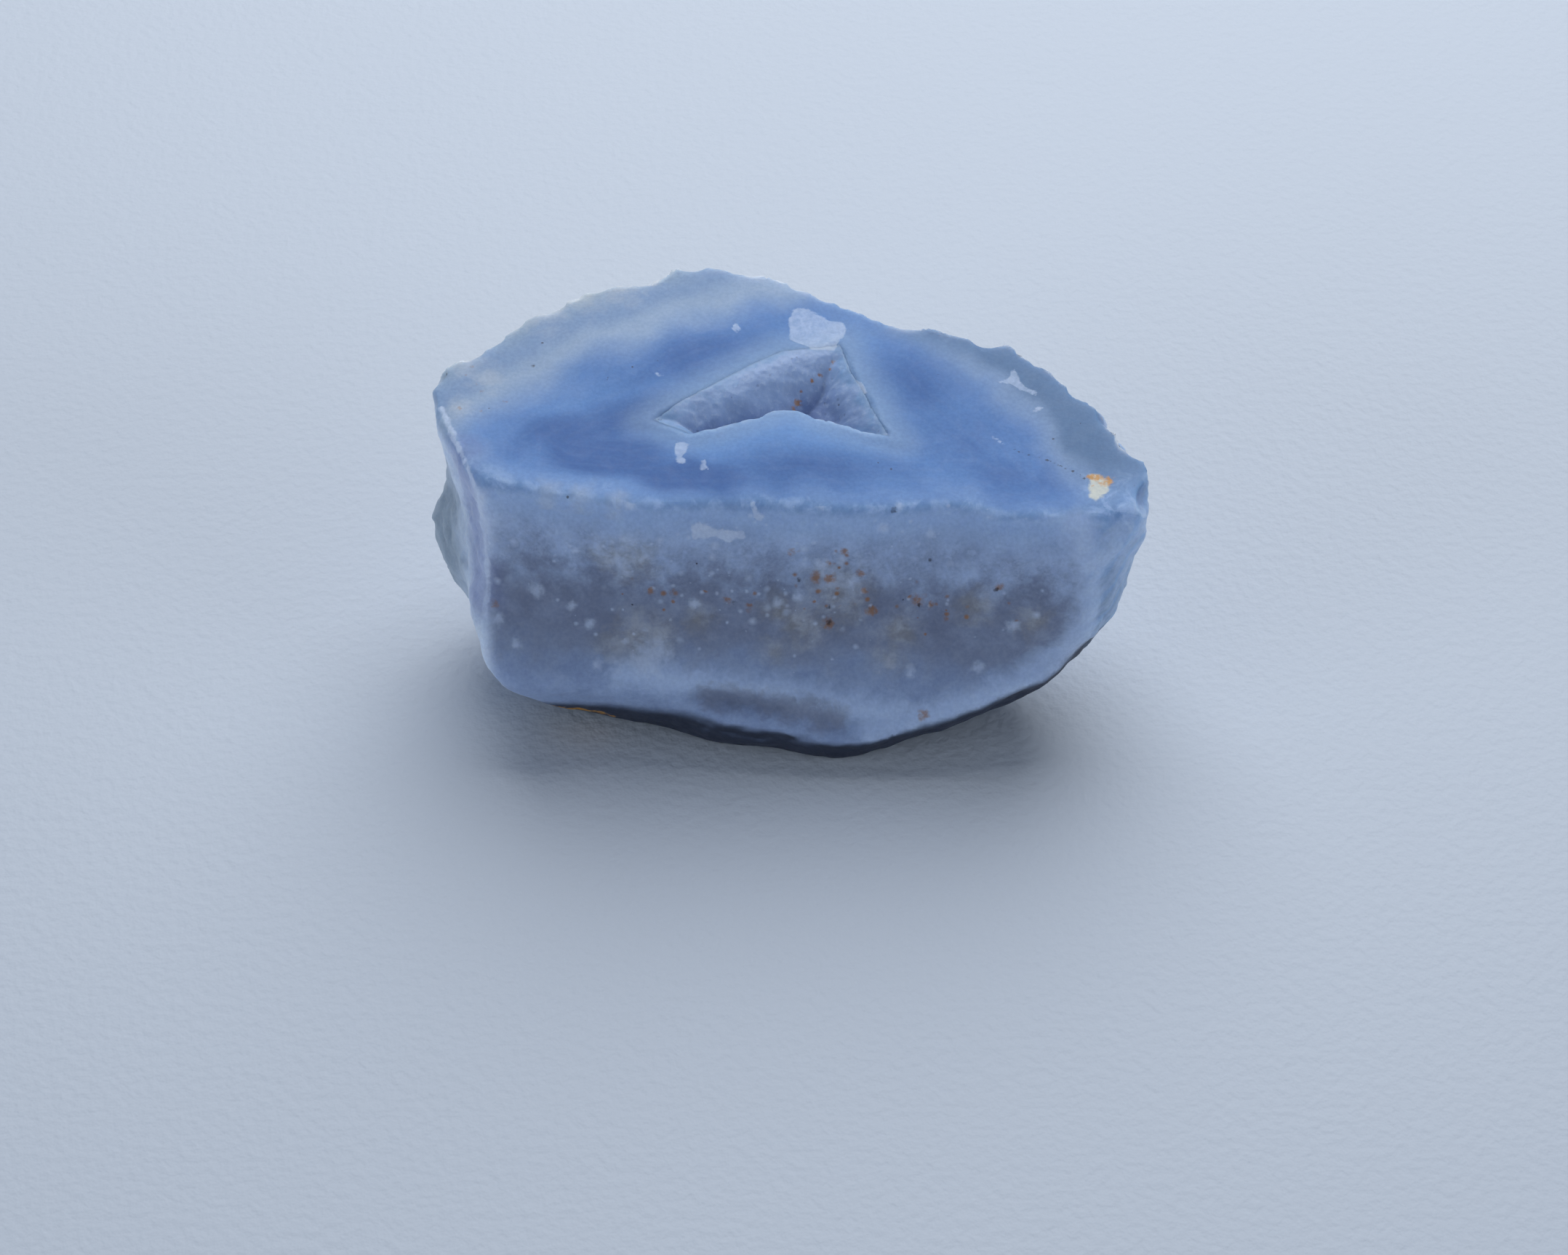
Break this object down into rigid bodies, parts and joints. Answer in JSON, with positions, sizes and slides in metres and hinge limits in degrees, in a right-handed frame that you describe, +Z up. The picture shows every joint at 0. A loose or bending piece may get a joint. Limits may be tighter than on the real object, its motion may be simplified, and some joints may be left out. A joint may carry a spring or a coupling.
{
  "type": "rough agate",
  "caption": "Rough broken block of banded blue agate with a weathered rind, a chipped rim and a three-sided hollow lined with fine crystals.",
  "frame": {"origin": "under the middle of the stone, on the surface it rests on", "axes": "+X along the stone's length to its chipped end, +Z up, -Y towards the weathered rind"},
  "size_m": [0.0452, 0.0268, 0.0196],
  "materials": {
    "agate": "waxy, satin break with a duller weathered rind",
    "druse": "sugary, rough crystal points"
  },
  "bodies": {
    "root": {"agate_stone": "agate", "druse_crust": "druse"}
  },
  "joints": []
}
